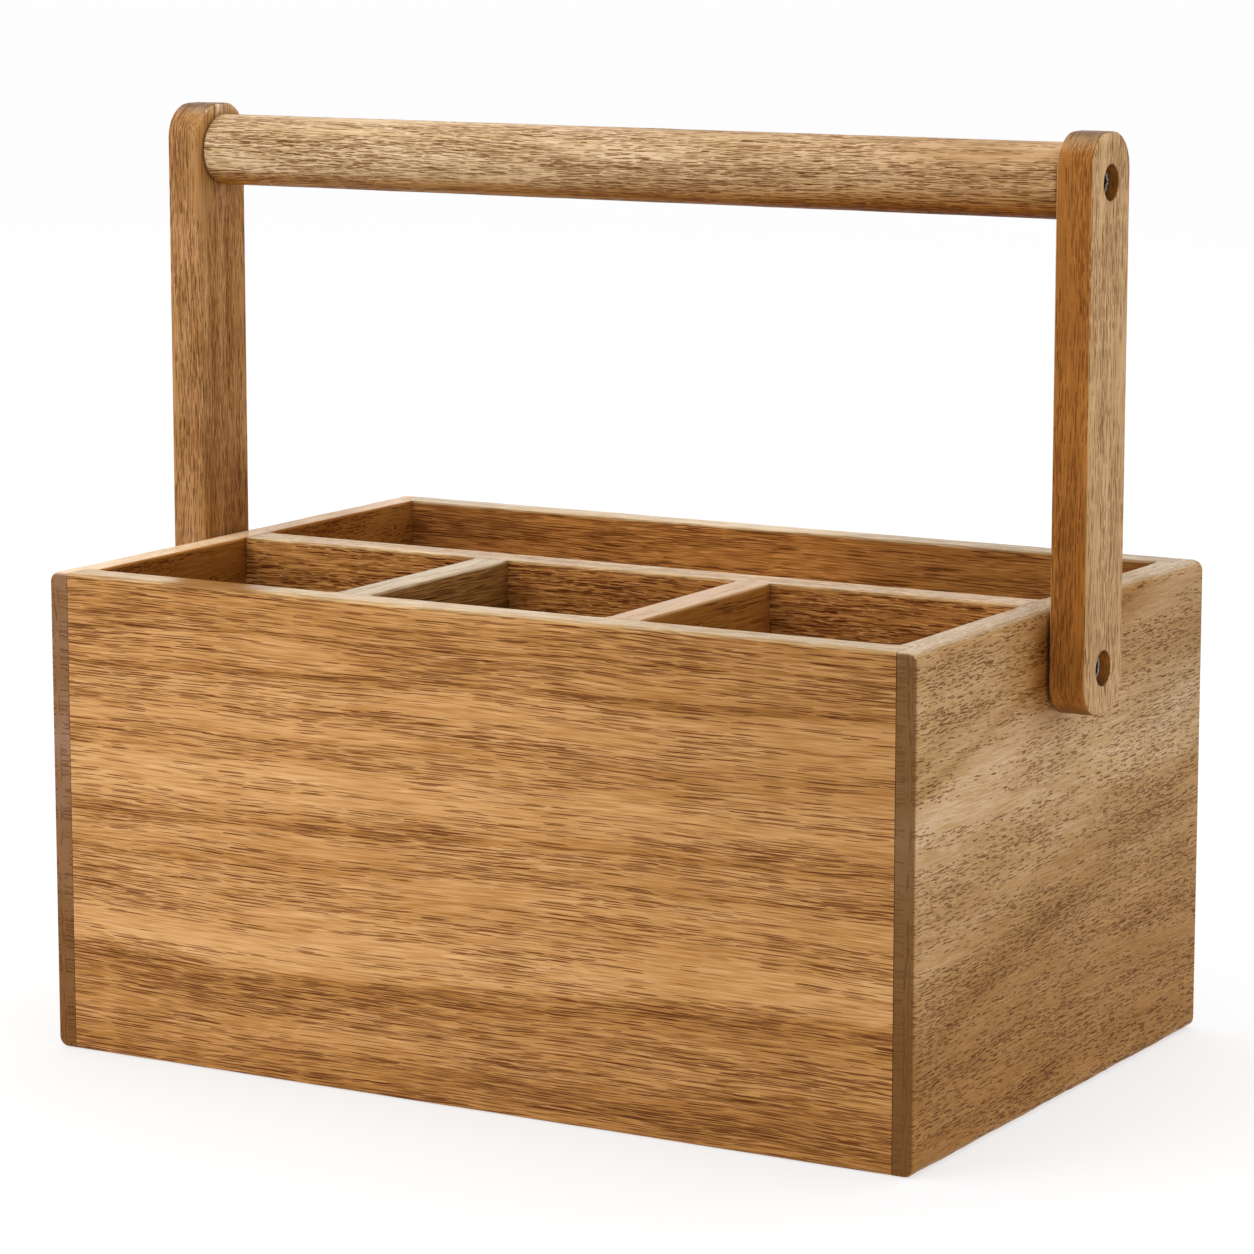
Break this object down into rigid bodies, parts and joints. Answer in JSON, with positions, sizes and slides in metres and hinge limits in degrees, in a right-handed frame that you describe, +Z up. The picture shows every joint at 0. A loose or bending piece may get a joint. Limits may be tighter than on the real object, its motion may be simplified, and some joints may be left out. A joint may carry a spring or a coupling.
{
  "type": "utensil caddy",
  "caption": "Wooden utensil caddy: open box with a row of front compartments, a long rear compartment and a swing handle with a round grip.",
  "frame": {"origin": "on the ground, under the middle of the box", "axes": "+X along the box's length and the handle's grip, to the right seen from the front; the front with its short compartments faces -Y; +Z up"},
  "size_m": [0.3234, 0.2, 0.289],
  "materials": {
    "acacia_front": "oiled acacia, golden brown, grain along the length",
    "acacia_back": "oiled acacia, golden brown, grain along the length",
    "acacia_end": "oiled acacia, pale tan, grain along the depth",
    "acacia_floor": "oiled acacia, brown",
    "acacia_divider": "oiled acacia, brown",
    "acacia_arm": "oiled acacia, tan, grain along the arm",
    "acacia_grip": "oiled acacia, tan, grain along the grip",
    "nylon": "dark matte nylon",
    "screw_steel": "zinc-plated steel"
  },
  "bodies": {
    "box": {"front_panel": "acacia_front", "back_panel": "acacia_back", "left_end_panel": "acacia_end", "right_end_panel": "acacia_end", "bottom_panel": "acacia_floor", "long_divider": "acacia_divider", "left_cross_divider": "acacia_divider", "right_cross_divider": "acacia_divider", "left_washer": "nylon", "right_washer": "nylon", "left_pivot_screw": "screw_steel", "right_pivot_screw": "screw_steel"},
    "handle": {"left_arm": "acacia_arm", "right_arm": "acacia_arm", "handle_dowel": "acacia_grip", "left_handle_screw": "screw_steel", "right_handle_screw": "screw_steel"}
  },
  "joints": [
    {"name": "handle_swing", "type": "hinge", "parent": "box", "child": "handle", "pos_m": [0, -0.0035, 0.1324], "axis": [1, 0, 0], "range_deg": [-125.7, 130.3]}
  ]
}
